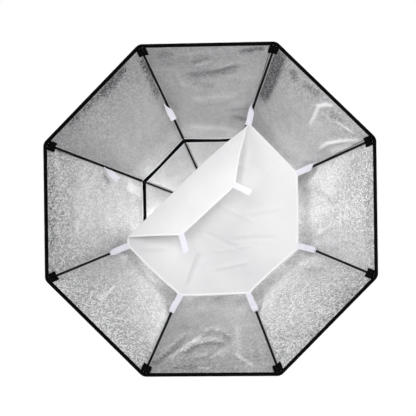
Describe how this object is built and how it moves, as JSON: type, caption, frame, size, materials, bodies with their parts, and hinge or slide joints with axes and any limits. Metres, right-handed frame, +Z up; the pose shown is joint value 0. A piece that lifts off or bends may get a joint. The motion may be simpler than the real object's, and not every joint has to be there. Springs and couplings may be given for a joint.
{
  "type": "octagonal softbox",
  "caption": "Octagonal silver-lined fabric softbox on sprung rods, with a rotating speedring for a bayonet lamp head and a tabbed inner diffuser folded back at two corners.",
  "frame": {"origin": "centre of the bayonet's rear end face, where the box meets its lamp head", "axes": "+Z up, +Y back towards the lamp head along the optical axis, -Y the way the light goes, +X to the right seen from the front"},
  "size_m": [0.8776, 0.3181, 0.8776],
  "materials": {
    "coated_steel": "satin",
    "black_nylon": "matte",
    "silver_cloth": "glossy",
    "cast_alloy": "satin",
    "bright_alloy": "satin",
    "black_plastic": "matte",
    "white_cloth": "matte",
    "white_webbing": "matte"
  },
  "bodies": {
    "mount": {"mount_insert": "bright_alloy", "mount_hub": "bright_alloy", "retaining_ring": "bright_alloy"},
    "softbox": {"speedring_body": "cast_alloy", "rim_binding": "black_nylon", "seam_binding": "black_nylon", "rear_collar": "black_nylon", "rod_1": "coated_steel", "corner_pocket_1": "black_nylon", "side_panel_1": "silver_cloth", "rear_panel_1": "silver_cloth", "shell_tab_1": "white_webbing", "rod_2": "coated_steel", "corner_pocket_2": "black_nylon", "side_panel_2": "silver_cloth", "rear_panel_2": "silver_cloth", "shell_tab_2": "white_webbing", "rod_3": "coated_steel", "corner_pocket_3": "black_nylon", "side_panel_3": "silver_cloth", "rear_panel_3": "silver_cloth", "rod_4": "coated_steel", "corner_pocket_4": "black_nylon", "side_panel_4": "silver_cloth", "rear_panel_4": "silver_cloth", "rod_5": "coated_steel", "corner_pocket_5": "black_nylon", "side_panel_5": "silver_cloth", "rear_panel_5": "silver_cloth", "shell_tab_5": "white_webbing", "rod_6": "coated_steel", "corner_pocket_6": "black_nylon", "side_panel_6": "silver_cloth", "rear_panel_6": "silver_cloth", "shell_tab_6": "white_webbing", "rod_7": "coated_steel", "corner_pocket_7": "black_nylon", "side_panel_7": "silver_cloth", "rear_panel_7": "silver_cloth", "shell_tab_7": "white_webbing", "rod_8": "coated_steel", "corner_pocket_8": "black_nylon", "side_panel_8": "silver_cloth", "rear_panel_8": "silver_cloth", "shell_tab_8": "white_webbing"},
    "lock_knob_left": {"lock_knob_left": "black_plastic"},
    "lock_knob_right": {"lock_knob_right": "black_plastic"},
    "diffuser": {"inner_diffuser": "white_cloth", "diffuser_tab_1": "white_webbing", "diffuser_tab_2": "white_webbing", "diffuser_tab_5": "white_webbing", "diffuser_tab_6": "white_webbing", "diffuser_tab_7": "white_webbing", "diffuser_tab_8": "white_webbing"},
    "flap": {"diffuser_flap": "white_cloth", "diffuser_tab_3": "white_webbing", "diffuser_tab_4": "white_webbing"},
    "loose_tab_3": {"shell_tab_3": "white_webbing"},
    "loose_tab_4": {"shell_tab_4": "white_webbing"}
  },
  "joints": [
    {"name": "box_spin", "type": "hinge", "parent": "mount", "child": "softbox", "pos_m": [0, -0.0212, 0], "axis": [0, 1, 0], "continuous": true},
    {"name": "lock_knob_left_turn", "type": "hinge", "parent": "softbox", "child": "lock_knob_left", "pos_m": [-0.0785, -0.0212, 0], "axis": [-1, 0, 0], "range_deg": [0, 450]},
    {"name": "lock_knob_right_turn", "type": "hinge", "parent": "softbox", "child": "lock_knob_right", "pos_m": [0.0785, -0.0212, 0], "axis": [1, 0, 0], "range_deg": [0, 450]},
    {"name": "diffuser_lift_off", "type": "slide", "parent": "softbox", "child": "diffuser", "axis": [0, -1, 0], "range_m": [0, 0.25]},
    {"name": "flap_fold", "type": "hinge", "parent": "diffuser", "child": "flap", "pos_m": [-0.07469, -0.1692, 0.0787], "axis": [0.7254, 0, 0.6884], "range_deg": [-147, 25]},
    {"name": "loose_tab_3_swing", "type": "hinge", "parent": "softbox", "child": "loose_tab_3", "pos_m": [-0.12523, -0.1775, 0.29449], "axis": [-0.891, 0, -0.454], "range_deg": [-5, 90]},
    {"name": "loose_tab_4_swing", "type": "hinge", "parent": "softbox", "child": "loose_tab_4", "pos_m": [-0.29641, -0.1775, 0.12061], "axis": [-0.6756, 0, -0.7373], "range_deg": [-5, 90]}
  ]
}
